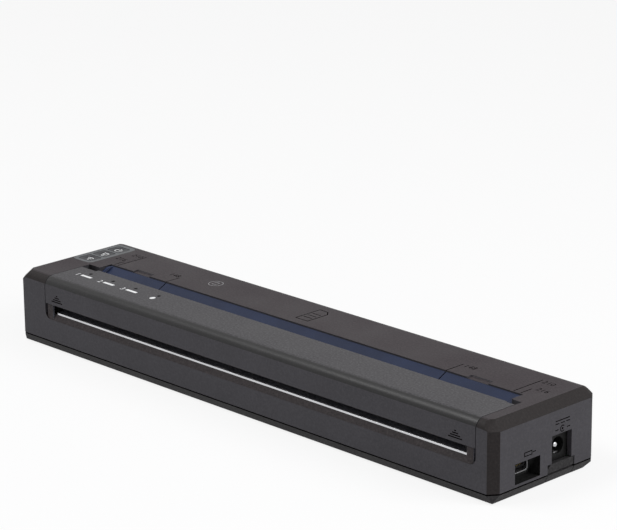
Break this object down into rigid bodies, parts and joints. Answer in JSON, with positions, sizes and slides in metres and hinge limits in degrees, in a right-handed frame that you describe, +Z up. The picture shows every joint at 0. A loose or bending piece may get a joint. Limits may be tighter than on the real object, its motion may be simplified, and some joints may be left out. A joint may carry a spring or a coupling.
{
  "type": "portable thermal printer",
  "caption": "Slim battery-powered A4 thermal printer with a hinged release cover, top paper slot, front exit slot, platen and gear drive, print head, keys and end connectors.",
  "frame": {"origin": "middle of the printer's bounding box on the desk, under the feet", "axes": "+X along the printer towards the end with the connectors, -Y the front with the exit slot, +Z up"},
  "size_m": [0.255, 0.055, 0.03],
  "materials": {
    "case": "warm charcoal moulding, fine matte texture",
    "cover": "slightly lighter charcoal moulding, fine matte texture",
    "base": "dark charcoal moulding, fine matte texture",
    "band": "dark blue moulding, fine sparkle",
    "inner": "black moulding",
    "keys": "mid grey, satin",
    "rubber": "ground black rubber",
    "bright_steel": "bright folded strip",
    "steel": "plated sheet",
    "aluminium": "extruded",
    "ceramic": "glazed ceramic",
    "gear": "natural moulding",
    "brass": "turned",
    "board": "solder mask",
    "chip": "moulded",
    "cell": "sleeved",
    "lens": "smoked lens"
  },
  "bodies": {
    "printer_frame": {"upper_case": "case", "base_tray": "base", "rubber_feet": "rubber", "base_screws": "steel", "battery_terminals": "brass", "paper_feed_guide": "band", "latch_springs": "steel", "hinge_pins": "bright_steel", "platen_bearing_left": "inner", "platen_bearing_right": "inner", "left_side_frame": "steel", "right_side_frame": "steel", "gear_posts": "bright_steel", "gear_post_clips": "steel", "stepper_motor": "steel", "exit_sill": "inner", "tear_bar": "bright_steel", "rear_paper_guide": "inner", "paper_sensor": "chip", "main_board": "board", "board_components": "chip", "board_screws": "steel", "port_board": "board", "usb_shell": "bright_steel", "usb_tongue": "inner", "dc_jack_body": "inner", "dc_jack_pin": "bright_steel", "dc_jack_contact": "bright_steel", "key_panel": "keys", "key_board": "board", "key_switches": "chip"},
    "cover": {"release_cover": "cover", "cover_hook_left": "inner", "cover_hook_right": "inner", "status_board": "board", "status_lights": "lens", "head_bracket": "steel", "head_bracket_screws": "steel", "head_guide_pins": "bright_steel", "head_springs": "bright_steel"},
    "head": {"head_heat_sink": "aluminium", "print_head": "ceramic", "head_driver_cover": "chip"},
    "platen": {"platen_rubber": "rubber", "platen_shaft": "bright_steel", "platen_gear": "gear"},
    "idler": {"idler_gear": "gear"},
    "compound": {"compound_gear": "gear"},
    "motor_rotor": {"motor_pinion": "brass", "motor_shaft": "bright_steel"},
    "battery_door": {"battery_door": "base"},
    "battery": {"battery_pack": "inner", "battery_cells": "cell", "battery_contacts": "brass"},
    "wireless_key": {"wireless_key": "keys"},
    "feed_key": {"feed_key": "keys"},
    "power_key": {"power_key": "keys"}
  },
  "joints": [
    {"name": "cover_hinge", "type": "hinge", "parent": "printer_frame", "child": "cover", "pos_m": [0, -0.0046, 0.026], "axis": [-1, 0, 0], "range_deg": [0, 44]},
    {"name": "head_float", "type": "slide", "parent": "cover", "child": "head", "axis": [0, 0, 1], "range_m": [0, 0.0005], "stiffness_N_per_m": 800, "springref_m": -0.0008, "deforming": ["head_springs"]},
    {"name": "platen_spin", "type": "hinge", "parent": "printer_frame", "child": "platen", "pos_m": [0, -0.012, 0.0112], "axis": [1, 0, 0], "continuous": true},
    {"name": "idler_spin", "type": "hinge", "parent": "printer_frame", "child": "idler", "pos_m": [0, 0.00075, 0.01462], "axis": [1, 0, 0], "continuous": true},
    {"name": "compound_spin", "type": "hinge", "parent": "printer_frame", "child": "compound", "pos_m": [0, 0.00799, 0.01035], "axis": [1, 0, 0], "continuous": true},
    {"name": "motor_spin", "type": "hinge", "parent": "printer_frame", "child": "motor_rotor", "pos_m": [0, 0.01599, 0.01402], "axis": [1, 0, 0], "continuous": true},
    {"name": "battery_lift_out", "type": "slide", "parent": "printer_frame", "child": "battery", "axis": [0, 0, -1], "range_m": [0, 0.022]},
    {"name": "battery_door_off", "type": "slide", "parent": "printer_frame", "child": "battery_door", "axis": [0, 0, -1], "range_m": [0, 0.04]},
    {"name": "wireless_key_press", "type": "slide", "parent": "printer_frame", "child": "wireless_key", "axis": [0, 0, -1], "range_m": [0, 0.0006], "stiffness_N_per_m": 500},
    {"name": "feed_key_press", "type": "slide", "parent": "printer_frame", "child": "feed_key", "axis": [0, 0, -1], "range_m": [0, 0.0006], "stiffness_N_per_m": 500},
    {"name": "power_key_press", "type": "slide", "parent": "printer_frame", "child": "power_key", "axis": [0, 0, -1], "range_m": [0, 0.0006], "stiffness_N_per_m": 500}
  ],
  "couplings": [
    {"joint": "idler_spin", "follows": "platen_spin", "ratio": -1.2},
    {"joint": "compound_spin", "follows": "platen_spin", "ratio": 3},
    {"joint": "motor_spin", "follows": "platen_spin", "ratio": -8},
    {"joint": "battery_door_off", "follows": "battery_lift_out", "ratio": 1.8}
  ]
}
